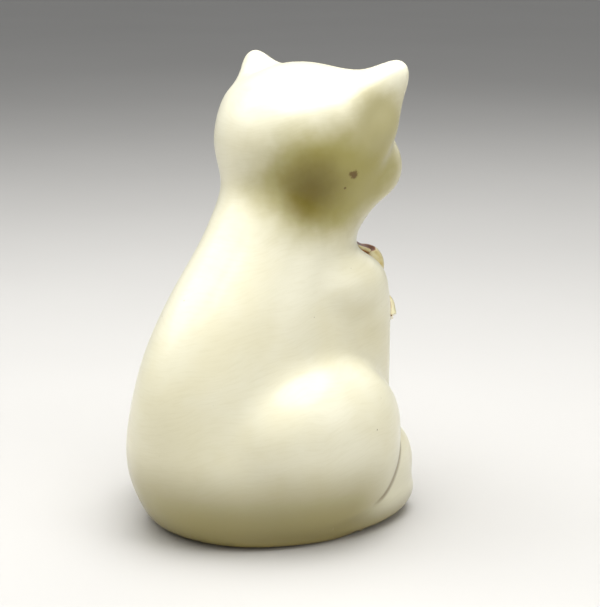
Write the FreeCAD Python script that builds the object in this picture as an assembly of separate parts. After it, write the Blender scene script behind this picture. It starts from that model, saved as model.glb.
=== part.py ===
import FreeCAD, Part
import math
import os

# Ceramic cat figurine: a sitting cat with a moulded bow at its throat, built the way a pottery builds one.
# The body and the head are hollow slip castings joined at the neck. The ears, legs, hind feet and tail are
# pressed clay pieces luted on, and the bow, eyes and nose are small pieces of coloured clay.
# Millimetres, +Z up. The origin is the middle of the base on the table. The cat faces -Y, its left is +X.

# ---- Body casting ----
# One row per section: its height, the y of its widest line, half its width, and its reach to the front
# and to the back of that line.
TORSO_SECTIONS = (
    (0, 2, 49.5, 37, 53.5),
    (24, 4, 49, 41, 65),
    (52, 5, 42, 47, 66.5),
    (78, 2, 38, 46, 62),
    (100, -3, 35, 39, 52.5),
    (122, -9, 31, 29, 40),
    (142, -14, 28, 26, 31),
    (160, -20, 18, 16, 22),
)
OUTLINE_POINTS = 16         # points on each section's outline
WALL = 5.0                  # thickness of the castings
BASE_EDGE_RADIUS = 8.0      # rounding where the flank turns under
BASE_EDGE_STEPS = (0, 30, 60)   # degrees round that edge at each of its sections, from the table up
SEAT = {"centre": (34.5, 2.5, 31.5), "radii": (24, 37, 34), "yaw": 6}
THIGH = {"centre": (31.7, 7, 46), "radii": (27, 41, 28), "tilt": -6, "yaw": 6}
SHOULDER_BLADE = {"centre": (23, -20, 101.5), "radii": (15.5, 22, 14.5)}

# ---- Base ----
FOOT_RING_WIDTH = 7.0       # bare clay ring that the cat stands on
FOOT_RECESS = 1.5           # depth of the underside inside that ring
CASTING_HOLE_RADIUS = 11.0  # hole the slip was poured out through
CASTING_HOLE_Y = 6.0

# ---- Neck joint ----
NECK_POINT = (0, -12, 127)  # a point on the joint plane
NECK_SLOPE = 18.0           # degrees, rising towards the back

# ---- Head casting ----
SKULL = {"centre": (0, -19, 161), "radii": (39, 36, 33.5)}
CHEEK = {"centre": (19.5, -36.5, 150), "radii": (17, 16, 15)}
MUZZLE = {"centre": (0, -48, 148), "radii": (14, 10, 10)}
THROAT = {"centre": (0, -28, 136), "radii": (24, 20, 16)}

# ---- Ears ----
EAR_ROOT = (26, -26, 172)
EAR_TIP = (41.8, -31.5, 190.8)
EAR_ROOT_RADIUS = 19.5
EAR_TIP_RADIUS = 5.5
EAR_FLATNESS = 0.58         # thickness over width
EAR_FACING = (0.25, -1, 0.15)
EAR_CUP_SCALE = 0.62        # size of the hollow in the ear's front, over the ear
EAR_CUP_OFFSET = 6.5        # how far in front of the ear's middle plane the hollow's middle lies

# ---- Legs ----
SHOULDER = (17, -31, 86)
SHOULDER_RADIUS = 18.5
WRIST = (13.5, -46, 12)
WRIST_RADIUS = 11.0
PAW = {"centre": (13, -50, 9), "radii": (11, 14, 9.5)}
INSTEP = {"centre": (34.8, -26.5, 21.5), "radii": (17, 26.6, 21.5), "yaw": -20}
SOLE = {"centre": (38.2, -11.5, 10), "radii": (16.7, 37, 13), "yaw": -3}

# ---- Tail, which lies along the cat's left side ----
# One row per section: x, y and z of its middle, and its radius.
TAIL_SECTIONS = (
    (36, 31, 13, 9.5),
    (50, 18, 9.5, 9.5),
    (57, -3, 8, 9.0),
    (56.5, -24, 7.4, 8.4),
    (50, -41, 6.6, 7.6),
    (41, -50, 6, 6.8),
)
TAIL_TIP_STEPS = (30, 55, 75)   # degrees round the domed tip of the tail at each of its last sections

# ---- Bow ----
BOW_LOOP = {"centre": (13, -44.5, 107), "radii": (11.5, 6.5, 9.5), "roll": 12}
BOW_LOOP_MOUTH = {"centre": (14, -43, 114), "radii": (7.5, 3.4, 7), "roll": 12}
BOW_KNOT = {"centre": (0, -46, 105.5), "radii": (5.5, 6.5, 7)}
BOW_TAIL = {"centre": (15.5, -48, 90.5), "radii": (6.5, 4.8, 16.5), "roll": -42, "tilt": -3}

# ---- Face ----
EYE = {"centre": (15.5, -50.5, 160), "radii": (7.6, 3.8, 6.2), "yaw": 22}
NOSE = {"centre": (0, -57.2, 152.5), "radii": (4.2, 2.8, 2.8)}

BIG = 400.0                 # side of the blocks that stand for a half space


def ellipsoid(centre, radii, tilt=0.0, roll=0.0, yaw=0.0, inset=0.0):
    """solid ellipsoid, turned about its own X (tilt), then Y (roll), then Z (yaw), and shrunk by inset"""
    size = [radius - inset for radius in radii]
    turn = FreeCAD.Rotation(FreeCAD.Vector(0, 0, 1), yaw)
    turn = turn * FreeCAD.Rotation(FreeCAD.Vector(0, 1, 0), roll)
    turn = turn * FreeCAD.Rotation(FreeCAD.Vector(1, 0, 0), tilt)
    stretch = FreeCAD.Matrix()
    stretch.scale(*size)
    shape = Part.makeSphere(1.0).transformGeometry(stretch)
    shape.Placement = FreeCAD.Placement(FreeCAD.Vector(*centre), turn)
    return shape


def mirrored(shape):
    """the same shape on the cat's right side"""
    return shape.mirror(FreeCAD.Vector(0, 0, 0), FreeCAD.Vector(1, 0, 0))


def fused(shapes):
    """one solid from shapes that run into each other"""
    return shapes[0].multiFuse(shapes[1:]).removeSplitter()


def cut_back(shape, neighbours):
    """what is left of shape outside its neighbours"""
    for neighbour in neighbours:
        shape = shape.cut(neighbour)
    return shape


def block(low, high):
    """box between two corners"""
    size = [b - a for a, b in zip(low, high)]
    return Part.makeBox(*size, FreeCAD.Vector(*low))


def above_table():
    return block((-BIG, -BIG, 0), (BIG, BIG, BIG))


def left_half():
    return block((0, -BIG, -BIG), (BIG, BIG, BIG))


def neck_side(above):
    """everything above, or everything below, the plane of the neck joint"""
    low, high = (0, BIG) if above else (-BIG, 0)
    space = block((-BIG, -BIG, low), (BIG, BIG, high))
    turn = FreeCAD.Rotation(FreeCAD.Vector(1, 0, 0), NECK_SLOPE)
    space.Placement = FreeCAD.Placement(FreeCAD.Vector(*NECK_POINT), turn)
    return space


def egg_outline(height, middle_y, half_width, front, back):
    """closed egg-shaped wire: half an ellipse to the front and half to the back, tangent at the sides"""
    points = []
    for step in range(OUTLINE_POINTS):
        angle = 2 * math.pi * step / OUTLINE_POINTS - math.pi / 2
        reach = back if math.sin(angle) > 0 else front
        x = half_width * math.cos(angle)
        y = middle_y + reach * math.sin(angle)
        points.append(FreeCAD.Vector(x, y, height))
    curve = Part.BSplineCurve()
    curve.interpolate(Points=points, PeriodicFlag=True)
    return Part.Wire(curve.toShape())


def torso(inset=0.0):
    """the torso and neck, or the hollow inside them when inset is the wall thickness"""
    _, middle_y, half_width, front, back = TORSO_SECTIONS[0]
    sections = [(inset, middle_y, half_width, front, back)]
    if not inset:
        sections = []
        for step in BASE_EDGE_STEPS:
            height = BASE_EDGE_RADIUS * (1 - math.cos(math.radians(step)))
            under = BASE_EDGE_RADIUS * (1 - math.sin(math.radians(step)))
            sections.append((height, middle_y, half_width - under, front - under, back - under))
    sections.extend(TORSO_SECTIONS[1:])
    outlines = []
    for height, middle_y, half_width, front, back in sections:
        outlines.append(egg_outline(height, middle_y, half_width - inset, front - inset, back - inset))
    return Part.makeLoft(outlines, True, False)


def limb_masses(inset=0.0):
    """the folded hind legs and the shoulder blades, as they swell out of the torso"""
    left = [ellipsoid(**mass, inset=inset) for mass in (SEAT, THIGH, SHOULDER_BLADE)]
    return left + [mirrored(mass) for mass in left]


def body_form():
    """outer form of the body, with no hollow"""
    form = fused([torso()] + limb_masses())
    return form.common(above_table()).common(neck_side(above=False))


def head_form():
    """outer form of the head, with no hollow"""
    cheek = ellipsoid(**CHEEK)
    lumps = [ellipsoid(**SKULL), cheek, mirrored(cheek), ellipsoid(**MUZZLE), ellipsoid(**THROAT), torso()]
    return fused(lumps).common(neck_side(above=True))


def hollow():
    """the hollow that runs through the body and the head"""
    inner = [torso(WALL)] + limb_masses(WALL) + [ellipsoid(**SKULL, inset=WALL), ellipsoid(**THROAT, inset=WALL)]
    above_floor = block((-BIG, -BIG, WALL), (BIG, BIG, BIG))
    return fused(inner).common(above_floor)


def underside_recess():
    """shallow recess inside the foot ring"""
    _, middle_y, half_width, front, back = TORSO_SECTIONS[0]
    margin = BASE_EDGE_RADIUS + FOOT_RING_WIDTH
    outline = egg_outline(0, middle_y, half_width - margin, front - margin, back - margin)
    return Part.Face(outline).extrude(FreeCAD.Vector(0, 0, FOOT_RECESS))


def casting_hole():
    return Part.makeCylinder(CASTING_HOLE_RADIUS, 3 * WALL, FreeCAD.Vector(0, CASTING_HOLE_Y, -WALL))


def round_cone(start, end, start_radius, end_radius):
    """two balls and the cone that touches both"""
    start = FreeCAD.Vector(*start)
    axis = FreeCAD.Vector(*end) - start
    length = axis.Length
    axis.normalize()
    sine = (start_radius - end_radius) / length
    cosine = math.sqrt(1 - sine * sine)
    cone_start = start + axis * (start_radius * sine)
    cone_length = length + (end_radius - start_radius) * sine
    cone = Part.makeCone(start_radius * cosine, end_radius * cosine, cone_length, cone_start, axis)
    balls = [Part.makeSphere(start_radius, start), Part.makeSphere(end_radius, start + axis * length)]
    return fused([cone] + balls)


def ear_form():
    """left ear: a round cone pressed flat, with a hollow in its front"""
    up = FreeCAD.Vector(*EAR_TIP) - FreeCAD.Vector(*EAR_ROOT)
    length = up.Length
    up.normalize()
    facing = FreeCAD.Vector(*EAR_FACING)
    facing = facing - up * facing.dot(up)
    facing.normalize()
    across = up.cross(facing)
    blank = round_cone((0, 0, 0), (0, 0, length), EAR_ROOT_RADIUS, EAR_TIP_RADIUS)
    # Local X runs across the ear, local Y the way it faces, squeezed to the ear's thickness, local Z to its tip.
    press = FreeCAD.Matrix()
    press.A11, press.A21, press.A31 = across.x, across.y, across.z
    press.A12, press.A22, press.A32 = [part * EAR_FLATNESS for part in facing]
    press.A13, press.A23, press.A33 = up.x, up.y, up.z
    press.A14, press.A24, press.A34 = EAR_ROOT
    ear = blank.transformGeometry(press)
    shrink = FreeCAD.Matrix()
    shrink.scale(EAR_CUP_SCALE, EAR_CUP_SCALE, EAR_CUP_SCALE)
    cup = blank.transformGeometry(shrink)
    cup.translate(FreeCAD.Vector(0, EAR_CUP_OFFSET / EAR_FLATNESS, length * (1 - EAR_CUP_SCALE) / 2))
    return ear.cut(cup.transformGeometry(press))


def foreleg_form():
    """left foreleg with its paw, up to the middle plane of the cat"""
    leg = round_cone(SHOULDER, WRIST, SHOULDER_RADIUS, WRIST_RADIUS)
    form = fused([leg, ellipsoid(**PAW)])
    return form.common(above_table()).common(left_half())


def tail_form():
    """tail: round sections along a curve, closed by a domed tip"""
    middles = [FreeCAD.Vector(x, y, z) for x, y, z, _ in TAIL_SECTIONS]
    outlines = []
    for index, (_, _, _, radius) in enumerate(TAIL_SECTIONS):
        before = middles[max(index - 1, 0)]
        after = middles[min(index + 1, len(middles) - 1)]
        heading = (after - before).normalize()
        outlines.append(Part.Wire(Part.makeCircle(radius, middles[index], heading)))
    for step in TAIL_TIP_STEPS:
        angle = math.radians(step)
        middle = middles[-1] + heading * (radius * math.sin(angle))
        outlines.append(Part.Wire(Part.makeCircle(radius * math.cos(angle), middle, heading)))
    return Part.makeLoft(outlines, True, False).common(above_table())


def pieces():
    """every piece of the figurine by name, each cut back to where it meets its neighbours"""
    body = body_form()
    head = head_form()
    inside = hollow()
    foreleg = foreleg_form().cut(body)
    forelegs = [foreleg, mirrored(foreleg)]
    hind_foot = fused([ellipsoid(**INSTEP), ellipsoid(**SOLE)]).common(above_table())
    hind_foot = cut_back(hind_foot, [body, foreleg])
    tail = cut_back(tail_form(), [body, hind_foot, foreleg])
    ear = ear_form().cut(head)
    eye = ellipsoid(**EYE).cut(head)
    nose = ellipsoid(**NOSE).cut(head)

    backing = [body, head] + forelegs
    knot = cut_back(ellipsoid(**BOW_KNOT), backing)
    loop = cut_back(ellipsoid(**BOW_LOOP), backing + [knot])
    ribbon_end = cut_back(ellipsoid(**BOW_TAIL).common(left_half()), backing + [knot, loop])
    loop = loop.cut(ellipsoid(**BOW_LOOP_MOUTH))

    return {
        "body_casting": body.cut(inside).cut(underside_recess()).cut(casting_hole()),
        "head_casting": head.cut(inside),
        "left_ear": ear,
        "right_ear": mirrored(ear),
        "left_foreleg": foreleg,
        "right_foreleg": mirrored(foreleg),
        "left_hind_foot": hind_foot,
        "right_hind_foot": mirrored(hind_foot),
        "tail": tail,
        "bow_left_loop": loop,
        "bow_right_loop": mirrored(loop),
        "bow_knot": knot,
        "bow_left_tail": ribbon_end,
        "bow_right_tail": mirrored(ribbon_end),
        "left_eye": eye,
        "right_eye": mirrored(eye),
        "nose": nose,
    }


os.makedirs("parts", exist_ok=True)
for name, shape in pieces().items():
    shape.exportStep(f"parts/{name}.step")
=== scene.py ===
import math

import bpy
import mathutils
import numpy as np
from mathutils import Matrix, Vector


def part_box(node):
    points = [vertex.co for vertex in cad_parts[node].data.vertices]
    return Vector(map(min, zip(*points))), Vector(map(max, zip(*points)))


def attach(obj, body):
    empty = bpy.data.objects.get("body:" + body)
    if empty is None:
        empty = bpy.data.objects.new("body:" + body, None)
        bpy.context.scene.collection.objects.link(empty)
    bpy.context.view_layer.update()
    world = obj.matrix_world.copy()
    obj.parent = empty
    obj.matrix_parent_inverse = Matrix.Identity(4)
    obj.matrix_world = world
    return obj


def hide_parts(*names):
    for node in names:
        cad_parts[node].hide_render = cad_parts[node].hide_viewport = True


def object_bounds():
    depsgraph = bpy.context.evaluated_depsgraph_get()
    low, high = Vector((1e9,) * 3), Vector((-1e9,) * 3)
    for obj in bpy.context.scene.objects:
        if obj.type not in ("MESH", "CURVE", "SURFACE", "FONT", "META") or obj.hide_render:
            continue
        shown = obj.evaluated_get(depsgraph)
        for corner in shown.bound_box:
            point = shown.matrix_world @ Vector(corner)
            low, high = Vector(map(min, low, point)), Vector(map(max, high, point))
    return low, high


# Ceramic cat figurine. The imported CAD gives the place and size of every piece. The clay is modelled as one
# smooth skin, a blend of distance fields placed by the CAD's boxes, and the skin is then cut into the same
# pieces that the CAD has, each with its walls and joint faces. Fields are in millimetres, Blender objects in
# metres. +Z is up, the cat faces -Y and its left is +X. A blend is a width in millimetres.

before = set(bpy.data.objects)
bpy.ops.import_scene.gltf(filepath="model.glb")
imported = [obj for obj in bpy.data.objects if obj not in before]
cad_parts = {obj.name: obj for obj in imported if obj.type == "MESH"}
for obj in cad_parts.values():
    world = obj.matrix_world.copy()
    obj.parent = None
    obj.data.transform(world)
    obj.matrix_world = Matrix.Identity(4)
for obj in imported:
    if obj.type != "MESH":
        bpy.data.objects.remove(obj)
CAD_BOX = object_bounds()
MM = 0.001

# ---------------------------------------------------------------------------------------------------------
# Places and sizes from the CAD
# ---------------------------------------------------------------------------------------------------------
CAD = {}
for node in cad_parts:
    CAD[node] = [np.array(corner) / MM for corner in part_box(node)]


def place(node, shares):
    """point at these shares of a node's box, 0 at its low corner and 1 at its high corner"""
    low, high = CAD[node]
    return low + (high - low) * np.array(shares)


def extent(node, shares):
    """lengths that are these shares of a node's box"""
    low, high = CAD[node]
    return (high - low) * np.array(shares)


# ---------------------------------------------------------------------------------------------------------
# Field kit. A field takes points (N, 3) and gives about the distance to a surface, negative inside.
# ---------------------------------------------------------------------------------------------------------
def join(a, b, blend):
    """union of two fields with a fillet about as wide as blend"""
    h = np.maximum(blend - np.abs(a - b), 0.0) / blend
    return np.minimum(a, b) - h * h * h * blend / 6.0


def overlap(a, b, blend):
    """intersection of two fields with a rounded edge"""
    return -join(-a, -b, blend)


def left_side(p):
    """the same points, folded onto the cat's left side"""
    return np.stack([np.abs(p[:, 0]), p[:, 1], p[:, 2]], -1)


def turned(q, tilt=0.0, roll=0.0, yaw=0.0):
    """vectors in the axes of a shape that is turned about X, then Y, then Z, in degrees"""
    t, r, w = np.radians([tilt, roll, yaw])
    x, y, z = q.T
    x, y = np.cos(w) * x + np.sin(w) * y, np.cos(w) * y - np.sin(w) * x
    x, z = np.cos(r) * x - np.sin(r) * z, np.sin(r) * x + np.cos(r) * z
    y, z = np.cos(t) * y + np.sin(t) * z, np.cos(t) * z - np.sin(t) * y
    return np.stack([x, y, z], -1)


def ellipsoid(q, radii):
    k0 = np.linalg.norm(q / radii, axis=-1)
    k1 = np.linalg.norm(q / (radii * radii), axis=-1)
    return k0 * (k0 - 1.0) / np.maximum(k1, 1e-9)


def lump(p, node, centre, radii, **turn):
    """ellipsoid placed and sized by shares of a node's box"""
    return ellipsoid(turned(p - place(node, centre), **turn), extent(node, radii))


def round_cone(p, start, end, start_radius, end_radius):
    """two balls and the cone that touches both"""
    axis = end - start
    length = np.linalg.norm(axis)
    axis = axis / length
    along = (p - start) @ axis
    across = np.linalg.norm(p - start - along[:, None] * axis, axis=-1)
    sine = (start_radius - end_radius) / length
    cosine = math.sqrt(1 - sine * sine)
    slope = along * cosine - across * sine
    side = across * cosine + along * sine - start_radius
    start_ball = np.hypot(across, along) - start_radius
    end_ball = np.hypot(across, along - length) - end_radius
    return np.where(slope < 0, start_ball, np.where(slope > length * cosine, end_ball, side))


def natural_spline(at, knots, values):
    """natural cubic spline through (knots, values)"""
    count = len(knots)
    gaps = np.diff(knots)
    matrix = np.eye(count)
    right = np.zeros(count)
    for i in range(1, count - 1):
        matrix[i, i - 1:i + 2] = gaps[i - 1], 2 * (gaps[i - 1] + gaps[i]), gaps[i]
        right[i] = 6 * ((values[i + 1] - values[i]) / gaps[i] - (values[i] - values[i - 1]) / gaps[i - 1])
    bend = np.linalg.solve(matrix, right)
    at = np.clip(at, knots[0], knots[-1])
    i = np.clip(np.searchsorted(knots, at) - 1, 0, count - 2)
    t, gap = at - knots[i], gaps[i]
    slope = (values[i + 1] - values[i]) / gap - gap * (2 * bend[i] + bend[i + 1]) / 6
    return values[i] + t * slope + t * t * bend[i] / 2 + t ** 3 * (bend[i + 1] - bend[i]) / (6 * gap)


def bump(distance, width):
    """1 at distance 0, falling smoothly to nothing over about the width"""
    return np.exp(-(distance / width) ** 2)


def ramp(value, start, end):
    """0 before start, 1 after end, smooth between"""
    t = np.clip((value - start) / (end - start), 0.0, 1.0)
    return t * t * (3 - 2 * t)


def line_distance(u, v, points):
    """distance in a plane from (u, v) to a chain of straight lines"""
    best = np.full(len(u), 1e9)
    for (u0, v0), (u1, v1) in zip(points[:-1], points[1:]):
        du, dv = u1 - u0, v1 - v0
        t = np.clip(((u - u0) * du + (v - v0) * dv) / (du * du + dv * dv), 0.0, 1.0)
        best = np.minimum(best, np.hypot(u - u0 - t * du, v - v0 - t * dv))
    return best


# ---------------------------------------------------------------------------------------------------------
# Body
# ---------------------------------------------------------------------------------------------------------
# Shares of the body casting's box: height, y of the widest line, half width, reach forward, reach back.
TORSO = np.array([
    (0.000, 0.394, 0.420, 0.317, 0.459),
    (0.174, 0.412, 0.416, 0.352, 0.557),
    (0.378, 0.420, 0.357, 0.404, 0.570),
    (0.568, 0.394, 0.314, 0.395, 0.530),
    (0.728, 0.352, 0.288, 0.335, 0.448),
    (0.887, 0.301, 0.259, 0.245, 0.339),
    (1.033, 0.258, 0.238, 0.223, 0.257),
    (1.164, 0.206, 0.153, 0.138, 0.188),
])
BASE_ROUNDING = 9.0         # blend between the flank and the table plane
NECK_ROUNDING = 10.0        # blend between the torso's side and its flat top, inside the head
TORSO_SCALE = 0.9           # brings the egg sections' values closer to true distances


def torso_side(p):
    """egg-shaped sections: half an ellipse forward of the widest line and half behind it"""
    low, high = CAD["body_casting"]
    wide, deep, tall = high - low
    x, y, z = p.T
    heights = TORSO[:, 0] * tall
    middle = natural_spline(z, heights, low[1] + TORSO[:, 1] * deep)
    half_width = natural_spline(z, heights, TORSO[:, 2] * wide)
    front = natural_spline(z, heights, TORSO[:, 3] * deep)
    back = natural_spline(z, heights, TORSO[:, 4] * deep)
    reach = np.where(y < middle, front, back)
    u, v = x / half_width, (y - middle) / reach
    k0 = np.hypot(u, v)
    k1 = np.hypot(u / half_width, v / reach)
    return k0 * (k0 - 1) / np.maximum(k1, 1e-6)


def torso(p):
    """the egg sections, closed at the table and inside the head"""
    top = TORSO[-1, 0] * extent("body_casting", (0, 0, 1))[2]
    closed = overlap(torso_side(p), p[:, 2] - top, NECK_ROUNDING) * TORSO_SCALE
    return overlap(closed, -p[:, 2], BASE_ROUNDING)


def haunch(p):
    """the folded hind leg: a broad seat and, above it, the round top of the thigh"""
    q = left_side(p)
    seat = lump(q, "body_casting", (0.793, 0.399, 0.230), (0.204, 0.317, 0.248), yaw=6)
    thigh = lump(q, "body_casting", (0.769, 0.437, 0.335), (0.229, 0.352, 0.204), tilt=-6, yaw=6)
    return overlap(join(seat, thigh, 16.0), -p[:, 2], 6.0)


def shoulder(p):
    return lump(left_side(p), "body_casting", (0.696, 0.206, 0.738), (0.132, 0.188, 0.105))


def trunk(p):
    """torso, haunches and shoulders, without the legs"""
    return join(join(torso(p), haunch(p), 10.0), shoulder(p), 9.0)


# ---------------------------------------------------------------------------------------------------------
# Legs, feet and tail
# ---------------------------------------------------------------------------------------------------------
PAW_GROOVES = {"spread": 3.6, "width": 1.1, "depth": 1.3, "run_in": 4.0}
FOOT_GROOVES = {"spread": 4.6, "width": 1.3, "depth": 1.5, "run_in": 6.0}
FOOT_GROOVE_TOP = (17.0, 24.0)      # heights between which the hind foot's grooves fade out


def toe_grooves(p, across, forward, centre, start, spread, width, depth, run_in):
    """two grooves that run over the front of a foot, each spread from its centre line. across and forward are
    unit directions on the table, and the grooves deepen over run_in from start."""
    side = p @ across
    shown = ramp(p @ forward, start, start + run_in)
    total = np.zeros(len(p))
    for groove in (centre - spread, centre + spread):
        total = total + bump(side - groove, width)
    return total * depth * shown


def foreleg(p):
    """tapering leg with its paw"""
    q = left_side(p)
    shoulder = place("left_foreleg", (0.467, 0.764, 0.836))
    wrist = place("left_foreleg", (0.367, 0.416, 0.117))
    wide = extent("left_foreleg", (1, 1, 1))[0]
    leg = round_cone(q, shoulder, wrist, 0.533 * wide, 0.317 * wide)
    paw = lump(q, "left_foreleg", (0.352, 0.301, 0.088), (0.340, 0.301, 0.101))
    paw = overlap(paw, -q[:, 2], 3.0)
    both = join(leg, paw, 5.0)
    centre = place("left_foreleg", (0.352, 0, 0))[0]
    sides = np.array([1.0, 0, 0])
    ahead = np.array([0, -1.0, 0])
    start = -place("left_foreleg", (0, 0.182, 0))[1]
    return both + toe_grooves(q, sides, ahead, centre, start, **PAW_GROOVES)


def hind_foot(p):
    """high heel and long low sole"""
    q = left_side(p)
    heel = lump(q, "left_hind_foot", (0.461, 0.354, 0.508), (0.454, 0.367, 0.508), yaw=-20)
    sole = lump(q, "left_hind_foot", (0.552, 0.561, 0.236), (0.446, 0.510, 0.307), yaw=-3)
    foot = overlap(join(heel, sole, 6.0), -q[:, 2], 5.0)
    yaw = math.radians(-8)
    ahead = np.array([math.sin(yaw), -math.cos(yaw), 0])
    sides = np.array([math.cos(yaw), math.sin(yaw), 0])
    middle = place("left_hind_foot", (0.449, 0.101, 0.197))
    start = place("left_hind_foot", (0.449, 0.047, 0)) @ ahead
    grooves = toe_grooves(q, sides, ahead, middle @ sides, start, **FOOT_GROOVES)
    return foot + grooves * (1 - ramp(q[:, 2], *FOOT_GROOVE_TOP))


# Shares of the tail's box for the middle of each section, and its radius in shares of the box's width.
TAIL = np.array([
    (0.057, 0.925, 0.663, 0.296),
    (0.494, 0.788, 0.485, 0.296),
    (0.712, 0.568, 0.408, 0.281),
    (0.696, 0.346, 0.378, 0.262),
    (0.494, 0.167, 0.337, 0.237),
    (0.213, 0.072, 0.306, 0.212),
])
TAIL_STEPS = 14             # straight lengths the tail's curve is followed in


def tail(p):
    """round section that follows the curve around the left hind foot"""
    low, high = CAD["tail"]
    knots = np.arange(len(TAIL), dtype=float)
    at = np.linspace(0, knots[-1], TAIL_STEPS + 1)
    path = np.stack([natural_spline(at, knots, low[i] + TAIL[:, i] * (high - low)[i]) for i in range(3)], -1)
    radius = natural_spline(at, knots, TAIL[:, 3] * (high - low)[0])
    form = np.full(len(p), 1e9)
    for i in range(TAIL_STEPS):
        form = np.minimum(form, round_cone(p, path[i], path[i + 1], radius[i], radius[i + 1]))
    return overlap(form, -p[:, 2], 3.0)


# ---------------------------------------------------------------------------------------------------------
# Head
# ---------------------------------------------------------------------------------------------------------
EYE_YAW = math.radians(22)          # the eye looks this far out to the side
EYE_SLANT = math.radians(10)        # rise of its outer corner
EYEBALL_OFFSET = (1.0, 6.4, -1.2)   # from the CAD eye's middle to the eyeball's: outward, back and up
SOCKET_DEPTH = 2.2          # how deep the eye's opening is cut into the head
BEAD_DEPTH = 2.5            # how far the eyes and the nose are let into the head
LID_THICKNESS = 1.3         # the lids stand this far off the eyeball
LID_WIDTH = 1.9             # and reach this far around its opening
MOUTH_DEPTH = 0.9
MOUTH_WIDTH = 0.9
EAR_FLATNESS = 0.58         # thickness over width
CUP_FLATNESS = 0.34
EAR_LINE_RISE = 0.018       # rise of the line through both ears towards the cat's right, over its length


def eye_axes(p):
    """points seen from the left eye's middle: along the eye towards its outer corner, forward, and up"""
    q = left_side(p) - place("left_eye", (0.472, 0.669, 0.504))
    along = q[:, 0] * math.cos(EYE_YAW) + q[:, 1] * math.sin(EYE_YAW)
    forward = q[:, 0] * math.sin(EYE_YAW) - q[:, 1] * math.cos(EYE_YAW)
    return (along * math.cos(EYE_SLANT) + q[:, 2] * math.sin(EYE_SLANT), forward,
            q[:, 2] * math.cos(EYE_SLANT) - along * math.sin(EYE_SLANT))


def eyeball(p):
    along, forward, up = eye_axes(p)
    size = extent("left_eye", (0.770, 1.432, 0.812))
    outward, back, rise = EYEBALL_OFFSET
    return ellipsoid(np.stack([along - outward, forward + back, up - rise], -1), size)


def eye_opening(p, margin=0.0):
    """almond seen from the front: negative between the lids"""
    along, _, up = eye_axes(p)
    half_length, half_height = extent("left_eye", (0.522, 0, 0.463))[[0, 2]] + margin
    radius = (half_length ** 2 + half_height ** 2) / (2 * half_height)
    drop = radius - half_height
    return np.maximum(np.hypot(along, up + drop), np.hypot(along, up - drop)) - radius


def skull(p):
    """head without its ears"""
    q = left_side(p)
    form = lump(p, "head_casting", (0.500, 0.499, 0.560), (0.500, 0.461, 0.440))
    cheek = lump(q, "head_casting", (0.750, 0.275, 0.416), (0.218, 0.205, 0.198))
    form = join(form, cheek, 12.0)
    muzzle = lump(p, "head_casting", (0.500, 0.152, 0.395), (0.190, 0.137, 0.136))
    form = join(form, muzzle, 10.0)
    pad = lump(q, "head_casting", (0.585, 0.076, 0.360), (0.100, 0.066, 0.081), yaw=18)
    form = join(form, pad, 3.5)
    chin = lump(p, "head_casting", (0.500, 0.112, 0.256), (0.095, 0.081, 0.076))
    form = join(form, chin, 5.0)
    brow = place("head_casting", (0.500, 0.152, 0.637))
    nose_root = place("head_casting", (0.500, 0.051, 0.466))
    bridge = round_cone(p, brow, nose_root, 7.0, 4.6)
    form = join(form, bridge, 9.0)
    throat = lump(p, "head_casting", (0.500, 0.383, 0.231), (0.308, 0.256, 0.211))
    return join(form, throat, 14.0)


def eye(p):
    """the part of the eyeball that is a bead let into the head"""
    return overlap(eyeball(p), -(skull(p) + BEAD_DEPTH), 1.0)


def ear_axes(p):
    """points seen from the left ear's root: across it, forward through it and up towards its tip; and the
    height of the tip over the root"""
    q = left_side(p)
    q[:, 2] += EAR_LINE_RISE * p[:, 0]
    root = place("left_ear", (0.284, 0.535, 0.383))
    tip = place("left_ear", (0.815, 0.256, 0.863))
    height = np.linalg.norm(tip - root)
    up = (tip - root) / height
    facing = np.array([0.25, -1.0, 0.15])
    facing = facing - facing @ up * up
    facing = facing / np.linalg.norm(facing)
    across = np.cross(up, facing)
    q = q - root
    return q @ across, q @ facing, q @ up, height


def ear(p):
    """flattened blade with a rounder back"""
    across, forward, up, height = ear_axes(p)
    wide = extent("left_ear", (1, 1, 1))[0]
    q = np.stack([across, forward / EAR_FLATNESS, up], -1)
    foot, top = np.zeros(3), np.array([0, 0, height])
    blade = round_cone(q, foot, top, 0.655 * wide, 0.185 * wide) * 0.7
    back = np.stack([across, forward, up], -1)
    root = np.array([-0.019 * wide, -0.361 * wide, -0.12 * height])
    return join(blade, round_cone(back, root, top * 0.88, 0.446 * wide, 0.190 * wide), 6.0)


def ear_cup(p):
    """hollow in the ear's front"""
    across, forward, up, height = ear_axes(p)
    wide = extent("left_ear", (1, 1, 1))[0]
    q = np.stack([across, (forward - 0.285 * wide) / CUP_FLATNESS, up], -1)
    foot, top = np.array([0.8, 0, 0.30 * height]), np.array([0, 0, 0.86 * height])
    return round_cone(q, foot, top, 0.380 * wide, 0.095 * wide) * 0.6


def mouth_line(p):
    """lines of the mouth and the split below the nose, as a distance seen from the front"""
    x, _, z = left_side(p).T
    x0, _, z0 = place("head_casting", (0.500, 0, 0.411))
    wide = extent("head_casting", (1, 0, 0))[0]
    curve = ((0, 0), (0, -0.050), (0.012, -0.075), (0.035, -0.095), (0.070, -0.102), (0.105, -0.096),
             (0.135, -0.079), (0.155, -0.056))
    chain = [(x0 + across * wide, z0 + rise * wide) for across, rise in curve]
    return line_distance(x, z, chain)


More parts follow.
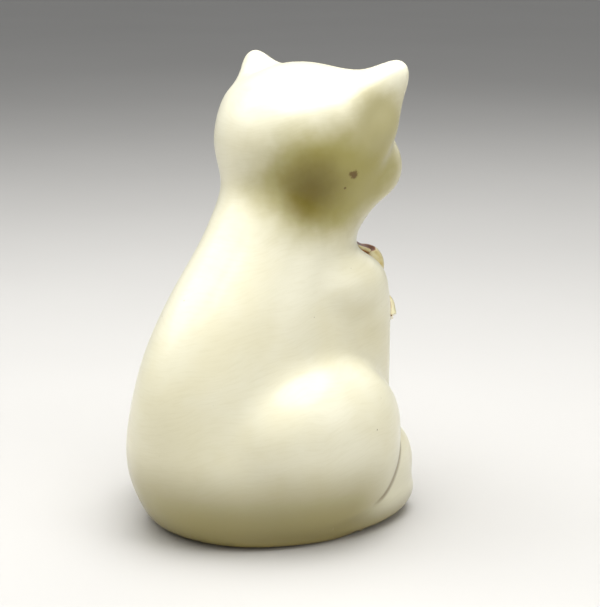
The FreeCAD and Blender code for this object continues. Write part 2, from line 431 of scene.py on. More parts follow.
def head(p):
    """the whole head: skull, cupped ears, sockets with their lids, and the grooves of the mouth"""
    form = join(skull(p), ear(p), 12.0)
    form = overlap(form, -ear_cup(p), 3.0)
    front = p[:, 1] < place("head_casting", (0, 0.223, 0))[1]
    lids = np.maximum(eyeball(p) - LID_THICKNESS, -eye_opening(p))
    lids = np.maximum(lids, eye_opening(p, LID_WIDTH))
    socket = np.maximum(eye_opening(p), -(skull(p) + SOCKET_DEPTH))
    form = np.where(front, overlap(join(form, lids, 2.2), -socket, 0.6), form)
    return form + np.where(front, MOUTH_DEPTH * bump(mouth_line(p), MOUTH_WIDTH), 0.0)


def nose(p):
    """bead that narrows downwards, with two nostrils"""
    q = left_side(p) - place("nose", (0.5, 0.70, 0.52))
    size = extent("nose", (0.56, 0.80, 0.60))
    narrowing = 1.0 + 0.45 * np.clip(-q[:, 2] / size[2], -0.4, 1.0)
    form = ellipsoid(np.stack([q[:, 0] * narrowing, q[:, 1], q[:, 2]], -1), size)
    nostril = np.linalg.norm(q - np.array([0.5, -0.75, -0.35]) * size, axis=-1) - 0.9
    form = overlap(form, -nostril, 0.8)
    return overlap(form, -(skull(p) + BEAD_DEPTH), 1.0)


# ---------------------------------------------------------------------------------------------------------
# Whole skin
# ---------------------------------------------------------------------------------------------------------
WAVES = ((61.0, (0.8, 0.5, 0.3)), (43.0, (-0.4, 0.8, 0.5)), (31.0, (0.5, -0.3, 0.8)))  # length, direction
WAVE_HEIGHT = 0.0012        # over its length


def skin(p):
    """outer surface of the clay, without the bow, eyes and nose"""
    form = join(trunk(p), foreleg(p), 16.0)
    form = join(form, hind_foot(p), 0.9)
    form = join(form, tail(p), 3.0)
    form = join(form, head(p), 16.0)
    return form + hand_wobble(p)


def hand_wobble(p):
    """slow unevenness of a hand-finished mould, in long crossing waves"""
    total = np.zeros(len(p))
    for length, way in WAVES:
        total = total + np.sin(p @ np.array(way) * 2 * math.pi / length + length) * length
    return total * WAVE_HEIGHT


# ---------------------------------------------------------------------------------------------------------
# Bow
# ---------------------------------------------------------------------------------------------------------
LOOP_FLATNESS = 0.72        # thickness over height of a bow loop
PLEAT_SLOPES = (0.30, -0.12)
PLEAT_WIDTH = 1.1
PLEAT_DEPTH = 0.9
KNOT_FOLD_X = 1.7
KNOT_FOLD_WIDTH = 0.8
KNOT_FOLD_DEPTH = 0.5
RIBBON_THICKNESS = 2.6
RIBBON_START = 2.6          # half width of a ribbon end at the knot
RIBBON_FLARE = 4.6          # growth of the half width to its end


def loop_mouth(p):
    """dished mouth in the top of a bow loop"""
    return lump(left_side(p), "bow_left_loop", (0.630, 0.654, 1.015), (0.301, 0.461, 0.201), roll=20)


def bow_loop(p):
    """left and right loop: a plump flattened drop with a lip around the dished mouth on top and two pleats"""
    q = left_side(p)
    inner = place("bow_left_loop", (0.020, 0.378, 0.400))
    outer = place("bow_left_loop", (0.570, 0.477, 0.420))
    tall = extent("bow_left_loop", (0, 0, 1))[2]
    flat = np.array([1.0, 1.0 / LOOP_FLATNESS, 1.0])
    form = round_cone(q * flat, inner * flat, outer * flat, 0.23 * tall, 0.47 * tall) * 0.85
    lip = lump(q, "bow_left_loop", (0.593, 0.885, 0.888), (0.296, 0.385, 0.138), roll=8)
    form = join(form, lip, 3.0)
    form = overlap(form, -loop_mouth(p), 1.6)
    front = 1 - ramp(q[:, 1], outer[1] - 2, outer[1] + 2)
    reach = q[:, 0] - inner[0]
    pleats = np.zeros(len(q))
    for slope in PLEAT_SLOPES:
        pleats = pleats + bump(q[:, 2] - inner[2] - slope * reach, PLEAT_WIDTH)
    return form + PLEAT_DEPTH * pleats * front * (1 - ramp(reach, 6.0, 14.0))


def bow_knot(p):
    """ball with two shallow upright folds"""
    form = lump(p, "bow_knot", (0.500, 0.530, 0.500), (0.500, 0.530, 0.500))
    return form + KNOT_FOLD_DEPTH * bump(left_side(p)[:, 0] - KNOT_FOLD_X, KNOT_FOLD_WIDTH)


def bow_tail(p):
    """left and right ribbon end: a band that hangs from the knot and lies on the leg, flared and rippled"""
    q = left_side(p)
    top = place("bow_left_tail", (-0.05, 0.5, 0.97))
    end = place("bow_left_tail", (0.98, 0.5, 0.16))
    run = (end - top)[[0, 2]]
    length = np.linalg.norm(run)
    run = run / length
    u = (q[:, 0] - top[0]) * run[0] + (q[:, 2] - top[2]) * run[1]
    v = (q[:, 0] - top[0]) * -run[1] + (q[:, 2] - top[2]) * run[0]
    share = np.clip(u / length, 0.0, 1.0)
    half_width = RIBBON_START + RIBBON_FLARE * share ** 0.8
    ripple = 0.7 * share * np.cos(v * 1.15) + 0.35 * share * np.sin(u * 0.55)
    height = skin(p) - 0.5 * RIBBON_THICKNESS - ripple + 0.3
    side = np.abs(v) - half_width
    ends = np.maximum(-u, u - length - 0.25 * v)
    form = overlap(np.abs(height) - 0.5 * RIBBON_THICKNESS, np.maximum(side, ends), 1.8)
    return np.maximum(form, p[:, 1] - CAD["bow_left_tail"][1][1] - 3.0)


# ---------------------------------------------------------------------------------------------------------
# How the skin is divided into the pieces
# ---------------------------------------------------------------------------------------------------------
WALL = 5.0                  # thickness of the castings
CUP_WALL = 3.5              # the hollow in the head keeps this far from the cups of the ears
LUTE_DEPTH = 2.0            # how far a luted piece is let into the casting
NECK_SLOPE = math.radians(18)
RING_INSET = 15.0           # inner edge of the foot ring, in from the base outline
RECESS_DEPTH = 1.5
CASTING_HOLE = (0.0, 6.0, 11.0)     # x, y and radius


def table(p):
    return -p[:, 2]


def neck(p):
    """negative below the neck joint"""
    _, y, z = (p - place("head_casting", (0.500, 0.588, 0.113))).T
    return z * math.cos(NECK_SLOPE) - y * math.sin(NECK_SLOPE)


def seam(host, guest):
    """negative on the casting's side of its joint with a piece that is luted onto it"""
    return lambda p: join(host(p) - guest(p), host(p) + LUTE_DEPTH, 2.0)


def nearer(one, other):
    """negative where the first form is the nearer one"""
    return lambda p: one(p) - other(p)


def outside(form):
    return lambda p: -form(p)


def side(sign):
    """negative on the cat's left for 1 and on its right for -1"""
    return lambda p: -sign * p[:, 0]


def hollow(p):
    """the hollow that runs through the body and the head"""
    core = join(trunk(p), skull(p), 16.0)
    form = overlap(core + WALL, WALL - p[:, 2], 3.0)
    return np.maximum(form, CUP_WALL - ear_cup(p))


def recess(p):
    """shallow recess of the underside inside the foot ring"""
    at_table = p * np.array([1.0, 1.0, 0.0])
    return overlap(torso_side(at_table) + RING_INSET, p[:, 2] - RECESS_DEPTH, 1.0)


def casting_hole(p):
    x, y, radius = CASTING_HOLE
    return np.hypot(p[:, 0] - x, p[:, 1] - y) - radius


# ---------------------------------------------------------------------------------------------------------
# Meshing. A solid is where every one of its fields is negative. Its mesh follows a regular lattice: one
# vertex in each lattice cell that the surface passes through, then moved onto the surface exactly, or onto
# the edge where two fields meet.
# ---------------------------------------------------------------------------------------------------------
COARSE = 4                  # fine lattice steps in a coarse one
NEAR_SURFACE = 1.3          # coarse steps from the surface that are still sampled finely
SLOPE_STEP = 0.02           # mm, for measuring how a field changes
EVENING = 0.6               # share of the way that a vertex is moved to the middle of its neighbours
CELL_SIDES = ((0, 0), (1, 0), (0, 1), (1, 1))


def gradient(field, p):
    """value and gradient of a field"""
    value = field(p)
    slope = np.stack([field(p + offset) - value for offset in np.eye(3) * SLOPE_STEP], -1) / SLOPE_STEP
    return value, slope


def lattice_points(index, origin, step):
    return origin + np.stack(index, -1) * step


def sample(fields, low, high, step):
    """values of the fields on the part of a lattice that lies near the solid's surface"""
    origin = (np.floor(np.array(low) / step) - COARSE) * step
    blocks = np.ceil((np.array(high) - origin) / (step * COARSE)).astype(int) + 2
    coarse = np.stack(np.unravel_index(np.arange(np.prod(blocks)), blocks), -1) * COARSE
    middle = origin + (coarse + (COARSE - 1) / 2) * step
    rough = np.max([field(middle) for field in fields], axis=0)
    shape = blocks * COARSE
    solid = np.repeat(np.repeat(np.repeat(rough.reshape(blocks), COARSE, 0), COARSE, 1), COARSE, 2)
    near = np.where((np.abs(solid) < NEAR_SURFACE * COARSE * step).ravel())[0]
    index = np.unravel_index(near, shape)
    points = lattice_points(index, origin, step)
    values = np.stack([field(points) for field in fields], -1)
    row = np.full(solid.size, -1)
    row[near] = np.arange(len(near))
    solid.ravel()[near] = values.max(-1)
    return origin, shape, solid, values, row


def surface_cells(origin, shape, solid, values, row, step):
    """first vertex places, the fields each vertex lies on, quads and the field each quad lies on"""
    inside = solid < 0
    strides = np.array([shape[1] * shape[2], shape[2], 1])
    total = np.prod(shape)
    place_sum = np.zeros((total, 3))
    count = np.zeros(total)
    on_field = np.zeros((total, values.shape[1]), bool)
    quads, quad_field = [], []
    for axis in range(3):
        keep = [slice(None)] * 3
        after = [slice(None)] * 3
        keep[axis], after[axis] = slice(0, -1), slice(1, None)
        change = np.where(inside[tuple(keep)] != inside[tuple(after)])
        start = np.ravel_multi_index(change, shape)
        stop = start + strides[axis]
        a, b = solid.ravel()[start], solid.ravel()[stop]
        t = a / (a - b)
        point = lattice_points(change, origin, step)
        point[:, axis] += t * step
        both = values[row[start]] * (1 - t)[:, None] + values[row[stop]] * t[:, None]
        active = both.argmax(-1)
        one, two = [(1, 2), (2, 0), (0, 1)][axis]
        corners = []
        for u, v in CELL_SIDES:
            cell = start - u * strides[one] - v * strides[two]
            np.add.at(place_sum, cell, point)
            np.add.at(count, cell, 1)
            on_field[cell, active] = True
            corners.append(cell)
        ring = np.stack([corners[0], corners[1], corners[3], corners[2]], -1)
        outward = inside.ravel()[start]
        ring[~outward] = ring[~outward][:, ::-1]
        quads.append(ring)
        quad_field.append(active)
    used = np.where(count > 0)[0]
    number = np.full(total, -1)
    number[used] = np.arange(len(used))
    vertex = place_sum[used] / count[used][:, None]
    return vertex, on_field[used], number[np.concatenate(quads)], np.concatenate(quad_field)


def settle(vertex, fields, on_field, reach, rounds):
    """moves each vertex onto all of the fields it lies on, but no further than reach"""
    start = vertex.copy()
    kinds, kind = np.unique(on_field, axis=0, return_inverse=True)
    kind = kind.ravel()
    for number, members in enumerate(kinds):
        mine = np.where(kind == number)[0]
        p = vertex[mine]
        for _ in range(rounds):
            parts = [gradient(fields[i], p) for i in np.where(members)[0]]
            value = np.stack([part[0] for part in parts], -1)
            slope = np.stack([part[1] for part in parts], 1)
            square = slope @ slope.transpose(0, 2, 1) + np.eye(len(parts)) * 1e-3
            step = np.linalg.solve(square, value[..., None])
            p = p - (slope.transpose(0, 2, 1) @ step)[..., 0]
        travel = np.linalg.norm(p - start[mine], axis=-1)
        share = np.minimum(1.0, reach / np.maximum(travel, 1e-9))
        vertex[mine] = start[mine] + (p - start[mine]) * share[:, None]
    return vertex


def relax(vertex, quads, free):
    """evens out the vertices that lie inside a smooth patch"""
    total = np.zeros_like(vertex)
    count = np.zeros(len(vertex))
    for a, b in ((0, 1), (1, 2), (2, 3), (3, 0)):
        for here, there in ((quads[:, a], quads[:, b]), (quads[:, b], quads[:, a])):
            np.add.at(total, here, vertex[there])
            np.add.at(count, here, 1)
    mean = total / np.maximum(count, 1)[:, None]
    moved = vertex.copy()
    moved[free] += EVENING * (mean - vertex)[free]
    return moved


def solid_mesh(fields, low, high, step):
    """quad mesh of the solid where all fields are negative, a normal for each corner of each quad, and the
    number of the field that each quad lies on"""
    vertex, on_field, quads, quad_field = surface_cells(*sample(fields, low, high, step), step)
    vertex = settle(vertex, fields, on_field, step, 3)
    free = on_field.sum(-1) == 1
    for _ in range(2):
        vertex = relax(vertex, quads, free)
        vertex = settle(vertex, fields, on_field, 0.5 * step, 1)
    normals = np.zeros(quads.shape + (3,))
    for number, field in enumerate(fields):
        mine = quad_field == number
        if mine.any():
            members = np.unique(quads[mine])
            where = np.zeros(len(vertex), int)
            where[members] = np.arange(len(members))
            normals[mine] = gradient(field, vertex[members])[1][where[quads[mine]]]
    normals /= np.maximum(np.linalg.norm(normals, axis=-1, keepdims=True), 1e-9)
    return vertex, quads, normals, quad_field


def add_piece(name, fields, step, slot, glaze, margin=4.0, paint=()):
    """Blender object that stands for the CAD node of the same name. The first field's faces get the glaze and
    the others are bare clay. Each painted field is kept on the mesh's points for the glaze to read."""
    low, high = CAD[name]
    vertex, quads, normals, quad_field = solid_mesh(fields, low - margin, high + margin, step)
    mesh = bpy.data.meshes.new(name)
    mesh.vertices.add(len(vertex))
    mesh.vertices.foreach_set("co", (vertex * MM).astype(np.float32).ravel())
    mesh.loops.add(quads.size)
    mesh.loops.foreach_set("vertex_index", quads.astype(np.int32).ravel())
    mesh.polygons.add(len(quads))
    mesh.polygons.foreach_set("loop_start", np.arange(0, quads.size, 4, dtype=np.int32))
    mesh.polygons.foreach_set("material_index", (quad_field > 0).astype(np.int32))
    mesh.update(calc_edges=True)
    mesh.materials.append(glaze)
    mesh.materials.append(CLAY)
    mesh.shade_smooth()
    mesh.normals_split_custom_set(normals.reshape(-1, 3))
    for label, field in paint:
        layer = mesh.attributes.new(label, "FLOAT", "POINT")
        layer.data.foreach_set("value", field(vertex).astype(np.float32))
    piece = bpy.data.objects.new(name, mesh)
    bpy.context.scene.collection.objects.link(piece)
    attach(piece, "root")
    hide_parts(name)


# ---------------------------------------------------------------------------------------------------------
# Glazes
# ---------------------------------------------------------------------------------------------------------
def colour(red, green, blue):
    """linear colour of 0 to 255 screen values"""
    linear = [c / 255 / 12.92 if c < 10.3 else ((c / 255 + 0.055) / 1.055) ** 2.4 for c in (red, green, blue)]
    return (*linear, 1.0)


class Finish:
    """a node material, built from the inside out"""

    def __init__(self, name):
        self.material = bpy.data.materials.new(name)
        self.material.use_nodes = True
        self.tree = self.material.node_tree
        self.tree.nodes.clear()
        self.place = self.node("ShaderNodeTexCoord").outputs["Object"]

    def node(self, kind, **inputs):
        """a node with its inputs set or linked; an input is named by its label or by its number as n0, n1"""
        node = self.tree.nodes.new(kind)
        for label, value in inputs.items():
            key = int(label[1:]) if label[1:].isdigit() else label.replace("_", " ")
            socket = node.inputs[key]
            if isinstance(value, bpy.types.NodeSocket):
                self.tree.links.new(value, socket)
            else:
                socket.default_value = value
        return node

    def sum(self, kind, a, b=0.0):
        node = self.node("ShaderNodeMath", n0=a, n1=b)
        node.operation = kind
        return node.outputs[0]

    def ramp(self, value, start, end, low=0.0, high=1.0):
        """low before start, high after end, smooth between"""
        node = self.node("ShaderNodeMapRange", Value=value, From_Min=start, From_Max=end,
                         To_Min=low, To_Max=high)
        node.interpolation_type = "SMOOTHSTEP"
        return node.outputs[0]

    def mix(self, share, a, b):
        node = self.node("ShaderNodeMix", n0=share, n6=a, n7=b)
        node.data_type = "RGBA"
        return node.outputs[2]

    def noise(self, size, detail=2.0, roughness=0.5, vector=None):
        """noise with lumps of about this size in mm"""
        node = self.node("ShaderNodeTexNoise", Vector=vector or self.place, Scale=1.0 / (size * MM),
                         Detail=detail, Roughness=roughness)
        return node.outputs["Fac"]

    def spots(self, gap):
        """distance from the nearest of scattered points that lie about gap mm apart, in shares of the gap"""
        return self.node("ShaderNodeTexVoronoi", Vector=self.place, Scale=1 / (gap * MM)).outputs["Distance"]

    def near(self, point, radii, waver=0.0):
        """distance from a point in mm over the radii, with an edge that noise makes waver"""
        shifted = self.node("ShaderNodeMapping", Vector=self.place, Location=[-c * MM for c in point])
        scaled = self.node("ShaderNodeMapping", Vector=shifted.outputs[0],
                           Scale=[1 / (r * MM) for r in radii])
        length = self.node("ShaderNodeVectorMath", n0=scaled.outputs[0])
        length.operation = "LENGTH"
        distance = length.outputs["Value"]
        if not waver:
            return distance
        lumps = self.noise(min(radii) * 0.6, 3.0, 0.6)
        return self.sum("ADD", distance, self.sum("MULTIPLY", self.sum("SUBTRACT", lumps, 0.5), waver))

    def read(self, label):
        node = self.node("ShaderNodeAttribute")
        node.attribute_name = label
        return node.outputs["Fac"]

    def crease(self, distance):
        """0 in the open, 1 deep in a crease of about this size in mm"""
        node = self.node("ShaderNodeAmbientOcclusion", Distance=distance * MM)
        node.samples = 8
        return self.sum("SUBTRACT", 1.0, node.outputs["AO"])

    def bump(self, height, depth, below=None):
        """bumps of this depth in mm, on top of others"""
        node = self.node("ShaderNodeBump", Height=height, Distance=depth * MM)
        if below is not None:
            self.tree.links.new(below, node.inputs["Normal"])
        return node.outputs[0]

    def surface(self, base, roughness, normal, coat=0.0, coat_roughness=0.1, **more):
        shader = self.node("ShaderNodeBsdfPrincipled", Base_Color=base, Roughness=roughness, Normal=normal,
                           Coat_Weight=coat, Coat_Roughness=coat_roughness, **more)
        output = self.node("ShaderNodeOutputMaterial")
        self.tree.links.new(shader.outputs[0], output.inputs[0])
        return self.material


BRUSH_TURN = [math.radians(t) for t in (8, -6, 45)]
BRUSH_STRETCH = (0.05, 0.09, 0.75)


def glaze_relief(finish, strength=1.0):
    """orange peel, brush ridges and pinholes of a brushed glaze, and where the pinholes are"""
    peel = finish.bump(finish.noise(2.6, 2.0), 0.020 * strength)
    ridges = finish.noise(1.2, 3.0, 0.6, brush_marks(finish))
    brushed = finish.bump(ridges, 0.018 * strength, peel)
    holes = finish.ramp(finish.spots(13.0), 0.012, 0.028, 1.0, 0.0)
    return finish.bump(holes, -0.10 * strength, brushed), holes


def brush_marks(finish):
    """places stretched along level brush strokes that waver a little"""
    waver = finish.node("ShaderNodeCombineXYZ", Z=finish.sum("MULTIPLY", finish.noise(30, 1.0), 14 * MM))
    moved = finish.node("ShaderNodeVectorMath", n0=finish.place, n1=waver.outputs[0])
    level = finish.node("ShaderNodeMapping", Vector=moved.outputs[0], Rotation=BRUSH_TURN)
    return finish.node("ShaderNodeMapping", Vector=level.outputs[0], Scale=BRUSH_STRETCH).outputs[0]


# Painted shade and stain on the head: centre, radii in mm, share of the radii that has the full shade,
# strength, tone.
# The first two are painted shade under the head, the darkest core also an olive-brown stain in the glaze; the
# third is painted shade on the back of the right ear.
HEAD_SHADE_AND_STAIN = (
    (place("head_casting", (0.058, 0.639, 0.395)), (50.0, 50.0, 33.0), 0.36, 0.95, (160, 150, 72)),
    (place("head_casting", (0.147, 0.781, 0.365)), (21.0, 21.0, 22.0), 0.0, 1.0, (112, 97, 6)),
    (place("right_ear", (0.20, 0.75, 0.42)), (18.0, 18.0, 20.0), 0.30, 0.90, (180, 172, 122)),
)
LOW_SHADE_TONE = (140, 130, 76)   # painted shade, darker towards the base
LOW_SHADE_MOST = 0.92
# Small dark stains: centre, radius in mm, strength.
STAINS = (
    (place("head_casting", (0.027, 0.587, 0.434)), 2.4, 1.0),
    (place("head_casting", (0.037, 0.606, 0.445)), 1.5, 1.0),
    (place("head_casting", (0.063, 0.618, 0.361)), 0.8, 0.9),
    (place("head_casting", (0.008, 0.538, 0.486)), 0.7, 0.7),
    (place("body_casting", (-0.005, 0.355, 0.354)), 0.7, 0.9),
)


def cream_glaze():
    """brushed cream with olive brush streaks, stains and pinholes; painted shade low down, on faces that look
    down, under the head and on the right ear's back; brown in the creases and joints, partly pooled glaze and
    partly painted shade
    """
    finish = Finish("cream_glaze")
    cream, butter, olive = colour(234, 230, 205), colour(229, 223, 192), colour(184, 172, 112)
    bottom_shade, umber, crease_brown = colour(112, 98, 46), colour(98, 72, 6), colour(150, 128, 52)
    stain_brown = colour(104, 78, 0)
    clouds = finish.ramp(finish.noise(42, 3.0, 0.55), 0.36, 0.68)
    base = finish.mix(clouds, cream, butter)
    streaks = finish.noise(0.7, 4.0, 0.6, brush_marks(finish))
    base = finish.mix(finish.ramp(streaks, 0.40, 0.75, 0.0, 0.09), base, olive)
    axes = finish.node("ShaderNodeSeparateXYZ", Vector=finish.place).outputs
    height, toward_back = axes["Z"], axes["Y"]
    # painted shade: darker towards the base, full on the back half and a quarter as strong at the front
    low = finish.ramp(height, 0.012, 0.044, LOW_SHADE_MOST, 0.0)
    low = finish.sum("MULTIPLY", low, finish.ramp(toward_back, -0.022, 0.010, 0.25, 1.0))
    base = finish.mix(low, base, colour(*LOW_SHADE_TONE))
    # painted shade: darker still in the lowest 15 mm
    base = finish.mix(finish.ramp(height, 0.002, 0.015, 0.7, 0.0), base, bottom_shade)
    # painted shade: surfaces that face down are mixed towards olive
    normal = finish.node("ShaderNodeNewGeometry").outputs["Normal"]
    upward = finish.node("ShaderNodeSeparateXYZ", Vector=normal).outputs["Z"]
    base = finish.mix(finish.ramp(upward, -0.80, -0.02, 0.60, 0.0), base, olive)
    # painted shade under the head and on the right ear's back, with a stain in the darkest core under the
    # head
    for centre, radii, full, most, tone in HEAD_SHADE_AND_STAIN:
        shade = finish.ramp(finish.near(centre, radii, 0.40), full, 1.05, most, 0.0)
        base = finish.mix(shade, base, colour(*tone))
    # brown in the creases, partly glaze pooled there and partly painted shade
    base = finish.mix(finish.ramp(finish.crease(6.0), 0.20, 0.70, 0.0, 0.45), base, crease_brown)
    base = finish.mix(finish.ramp(finish.crease(1.8), 0.30, 0.85, 0.0, 0.50), base, crease_brown)
    # brown along the joints of the hind feet and tail with the body, partly glaze pooled in the joint and
    # partly painted shade
    base = finish.mix(finish.ramp(finish.read("joint"), 0.20, 1.0, 0.0, 0.65), base, umber)
    relief, holes = glaze_relief(finish)
    for centre, radius, most in STAINS:
        spot = finish.ramp(finish.near(centre, (radius, radius, radius), 1.1), 0.45, 1.0, most, 0.0)
        base = finish.mix(spot, base, stain_brown)
    base = finish.mix(finish.sum("MULTIPLY", holes, 0.55), base, umber)
    roughness = finish.ramp(finish.noise(22, 3.0), 0.3, 0.7, 0.34, 0.46)
    return finish.surface(base, roughness, relief, coat=0.5, coat_roughness=0.20, Specular_IOR_Level=0.35)


def bow_glaze():
    """straw coloured, with amber in the creases and a burnt brown pool in the mouth of each loop"""
    finish = Finish("bow_glaze")
    pale, honey = colour(222, 214, 170), colour(196, 176, 108)
    amber, brown, black = colour(150, 82, 8), colour(66, 34, 2), colour(28, 15, 2)
    base = finish.mix(finish.ramp(finish.noise(7, 3.0), 0.35, 0.7), pale, honey)
    base = finish.mix(finish.ramp(finish.crease(3.0), 0.12, 0.6), base, amber)
    dip = finish.sum("ADD", finish.read("dip"), finish.sum("MULTIPLY", finish.noise(2.5, 3.0), 0.5))
    base = finish.mix(finish.ramp(dip, 0.50, 0.70), base, amber)
    base = finish.mix(finish.ramp(dip, 0.66, 0.95), base, brown)
    base = finish.mix(finish.ramp(dip, 1.00, 1.30), base, black)
    relief, _ = glaze_relief(finish, 0.8)
    return finish.surface(base, 0.28, relief, coat=0.7, coat_roughness=0.08)


def eye_glaze():
    """amber iris that darkens to its rim, an upright dark slit, and a clear coat"""
    finish = Finish("eye_glaze")
    gold, amber = colour(196, 138, 46), colour(140, 80, 20)
    brown, black = colour(52, 26, 8), colour(12, 8, 5)
    across, rise = finish.read("across"), finish.read("rise")
    radius = finish.sum("SQRT", finish.sum("ADD", finish.sum("MULTIPLY", across, across),
                                           finish.sum("MULTIPLY", rise, rise)))
    flecks = finish.noise(0.8, 4.0, 0.7)
    base = finish.mix(finish.ramp(finish.sum("ADD", radius, flecks), 0.5, 1.4), gold, amber)
    base = finish.mix(finish.ramp(radius, 0.72, 1.0), base, brown)
    taper = finish.sum("MULTIPLY", finish.sum("ABSOLUTE", rise), 0.22)
    slit = finish.sum("ADD", finish.sum("ABSOLUTE", across), taper)
    base = finish.mix(finish.ramp(slit, 0.20, 0.27, 1.0, 0.0), base, black)
    relief = finish.bump(finish.noise(1.6, 2.0), 0.01)
    return finish.surface(base, 0.12, relief, coat=1.0, coat_roughness=0.03)


def nose_glaze():
    finish = Finish("nose_glaze")
    rose, brown, nose_crease_shade = colour(150, 92, 66), colour(84, 44, 26), colour(38, 20, 12)
    base = finish.mix(finish.ramp(finish.noise(1.8, 4.0, 0.6), 0.35, 0.7), rose, brown)
    # painted shade: darker in the nostrils and creases of the nose
    base = finish.mix(finish.ramp(finish.crease(1.6), 0.1, 0.6), base, nose_crease_shade)
    relief = finish.bump(finish.noise(0.7, 2.0), 0.04)
    return finish.surface(base, 0.32, relief, coat=0.5, coat_roughness=0.12)


def bare_clay():
    """unglazed biscuit: chalky, with fine grog and a few iron specks"""
    finish = Finish("bare_clay")
    chalk, sand, iron = colour(216, 203, 178), colour(196, 178, 146), colour(104, 72, 44)
    base = finish.mix(finish.ramp(finish.noise(9, 4.0, 0.6), 0.35, 0.7), chalk, sand)
    specks = finish.spots(2.6)
    base = finish.mix(finish.ramp(specks, 0.06, 0.16, 0.6, 0.0), base, iron)
    relief = finish.bump(finish.noise(0.6, 4.0, 0.7), 0.08)
    return finish.surface(base, 0.88, relief)


CREAM = cream_glaze()
BOW = bow_glaze()
EYE = eye_glaze()
NOSE = nose_glaze()
CLAY = bare_clay()

# ---------------------------------------------------------------------------------------------------------
# Pieces
# ---------------------------------------------------------------------------------------------------------
# Lattice steps in mm.
BODY_STEP, HEAD_STEP, LIMB_STEP, BOW_STEP, BEAD_STEP = 1.4, 0.7, 0.9, 0.45, 0.4


def joint(p):
    """1 where a hind foot or the tail meets the body, falling to 0 beside the joint"""
    body = np.abs(trunk(p))
    gap = np.minimum(np.maximum(body, np.abs(hind_foot(p))), np.maximum(body, np.abs(tail(p))))
    return (1 - ramp(gap, 0.0, 1.7)) * (1 - ramp(p[:, 1], -16, 0)) * ramp(p[:, 2], 2, 10)


def dip(p):
    """1 in the dished mouth of a bow loop, falling to 0 around it"""
    return ramp(-loop_mouth(p), -1.6, 1.2)


def eye_across(p):
    return eye_axes(p)[0] / extent("left_eye", (0.421, 0, 0))[0]


def eye_rise(p):
    return eye_axes(p)[2] / extent("left_eye", (0, 0, 0.414))[2]


def clay_piece(name, cuts, step, **more):
    """piece of the glazed skin, cut from it by these fields"""
    add_piece(name, [skin] + cuts, step, "cream_glaze", CREAM, **more)


def bow_piece(name, form, cuts, **more):
    add_piece(name, [form, outside(skin)] + cuts, BOW_STEP, "bow_glaze", BOW, **more)


JOINT_PAINT = (("joint", joint),)
DIP_PAINT = (("dip", dip),)
EYE_PAINT = (("across", eye_across), ("rise", eye_rise))
EAR_MARGIN = 16.0           # room around an ear's CAD box for the ear's root
EAR_SEAM = seam(skull, ear)

clay_piece("body_casting", [table, neck, seam(trunk, foreleg), seam(trunk, hind_foot), seam(trunk, tail),
                            outside(hollow), outside(recess), outside(casting_hole)],
           BODY_STEP, paint=JOINT_PAINT)
clay_piece("head_casting", [outside(neck), EAR_SEAM, outside(eye), outside(nose), outside(hollow)], HEAD_STEP)
for sign, label in ((1, "left"), (-1, "right")):
    half = side(sign)
    clay_piece(f"{label}_ear", [outside(EAR_SEAM), half], HEAD_STEP, margin=EAR_MARGIN)
    clay_piece(f"{label}_foreleg", [table, outside(seam(trunk, foreleg)), nearer(foreleg, hind_foot),
                                    nearer(foreleg, tail), neck, half], LIMB_STEP)
    clay_piece(f"{label}_hind_foot", [table, outside(seam(trunk, hind_foot)), nearer(hind_foot, foreleg),
                                      nearer(hind_foot, tail), half], LIMB_STEP, paint=JOINT_PAINT)
    add_piece(f"{label}_eye", [eye, half], BEAD_STEP, "eye_glaze", EYE, paint=EYE_PAINT)
    bow_piece(f"bow_{label}_loop", bow_loop, [outside(bow_knot), half], paint=DIP_PAINT)
    bow_piece(f"bow_{label}_tail", bow_tail, [outside(bow_knot), outside(bow_loop), half])
clay_piece("tail", [table, outside(seam(trunk, tail)), nearer(tail, hind_foot), nearer(tail, foreleg)],
           LIMB_STEP, paint=JOINT_PAINT)
bow_piece("bow_knot", bow_knot, [])
add_piece("nose", [nose], BEAD_STEP, "nose_glaze", NOSE)

# ---------------------------------------------------------------------------------------------------------
# Floor, light and camera
# ---------------------------------------------------------------------------------------------------------
FLOOR_SIZE = 60.0
CAMERA_AZIMUTH = math.radians(225)
CAMERA_DISTANCE = 0.720     # from the cat's upright axis, level
CAMERA_HEIGHT = 0.272
CAMERA_PITCH = math.radians(14.0)
LENS, SENSOR = 102.3, 36.0
SHIFT_X = 0.049
# Name, azimuth and elevation in degrees, distance and size in metres, power in watts.
LIGHTS = (
    ("top_light", 225, 88, 0.75, (0.85, 0.85), 11.0),
    ("left_light", 124, 42, 1.0, (0.7, 0.6), 2.9),
    ("right_light", 285, 25, 1.2, (0.5, 0.8), 1.9),
    ("front_light", 10, 35, 1.2, (0.8, 0.8), 1.6),
    ("back_light", 236, 32, 1.4, (1.0, 1.0), 1.5),
)
SKY_COLOUR = (0.80, 0.81, 0.82, 1)
SKY_STRENGTH = 0.36


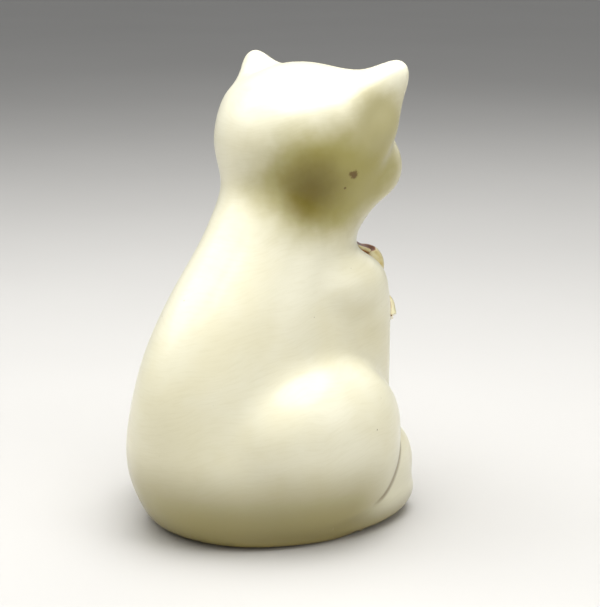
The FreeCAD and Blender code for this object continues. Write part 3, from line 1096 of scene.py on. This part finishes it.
def floor():
    finish = Finish("studio_floor")
    base = finish.mix(finish.noise(300, 3.0), colour(198, 196, 192), colour(206, 204, 200))
    material = finish.surface(base, 0.6, finish.bump(finish.noise(4, 3.0), 0.05))
    mesh = bpy.data.meshes.new("studio_floor")
    half = FLOOR_SIZE / 2
    corners = [(-half, -half, 0), (half, -half, 0), (half, half, 0), (-half, half, 0)]
    mesh.from_pydata(corners, [], [(0, 1, 2, 3)])
    mesh.materials.append(material)
    plane = bpy.data.objects.new("studio_floor", mesh)
    bpy.context.scene.collection.objects.link(plane)


def aim(thing, point):
    thing.rotation_euler = (mathutils.Vector(point) - thing.location).to_track_quat("-Z", "Y").to_euler()


def soft_box(name, azimuth, elevation, distance, size, power, target):
    """square area light; azimuth 0 is in front of the cat and 90 is on its left"""
    lamp = bpy.data.lights.new(name, "AREA")
    lamp.shape = "RECTANGLE"
    lamp.size, lamp.size_y = size
    lamp.energy = power
    thing = bpy.data.objects.new(name, lamp)
    a, e = math.radians(azimuth), math.radians(elevation)
    toward = mathutils.Vector((math.sin(a) * math.cos(e), -math.cos(a) * math.cos(e), math.sin(e)))
    thing.location = mathutils.Vector(target) + distance * toward
    bpy.context.scene.collection.objects.link(thing)
    aim(thing, target)


def studio():
    low, high = CAD_BOX
    for light in LIGHTS:
        soft_box(*light, (low + high) / 2)
    world = bpy.data.worlds.new("studio")
    world.use_nodes = True
    sky = world.node_tree.nodes["Background"].inputs
    sky["Color"].default_value = SKY_COLOUR
    sky["Strength"].default_value = SKY_STRENGTH
    bpy.context.scene.world = world


def camera():
    lens = bpy.data.cameras.new("camera")
    lens.lens, lens.sensor_width, lens.sensor_fit = LENS, SENSOR, "AUTO"
    lens.shift_x = SHIFT_X
    lens.clip_start, lens.clip_end = 0.01, 100
    thing = bpy.data.objects.new("camera", lens)
    toward = mathutils.Vector((math.sin(CAMERA_AZIMUTH), -math.cos(CAMERA_AZIMUTH), 0))
    thing.location = toward * CAMERA_DISTANCE + mathutils.Vector((0, 0, CAMERA_HEIGHT))
    gaze = -toward * math.cos(CAMERA_PITCH) - mathutils.Vector((0, 0, math.sin(CAMERA_PITCH)))
    thing.rotation_euler = gaze.to_track_quat("-Z", "Y").to_euler()
    bpy.context.scene.collection.objects.link(thing)
    bpy.context.scene.camera = thing


floor()
studio()
camera()
bpy.context.scene.view_settings.view_transform = "Standard"
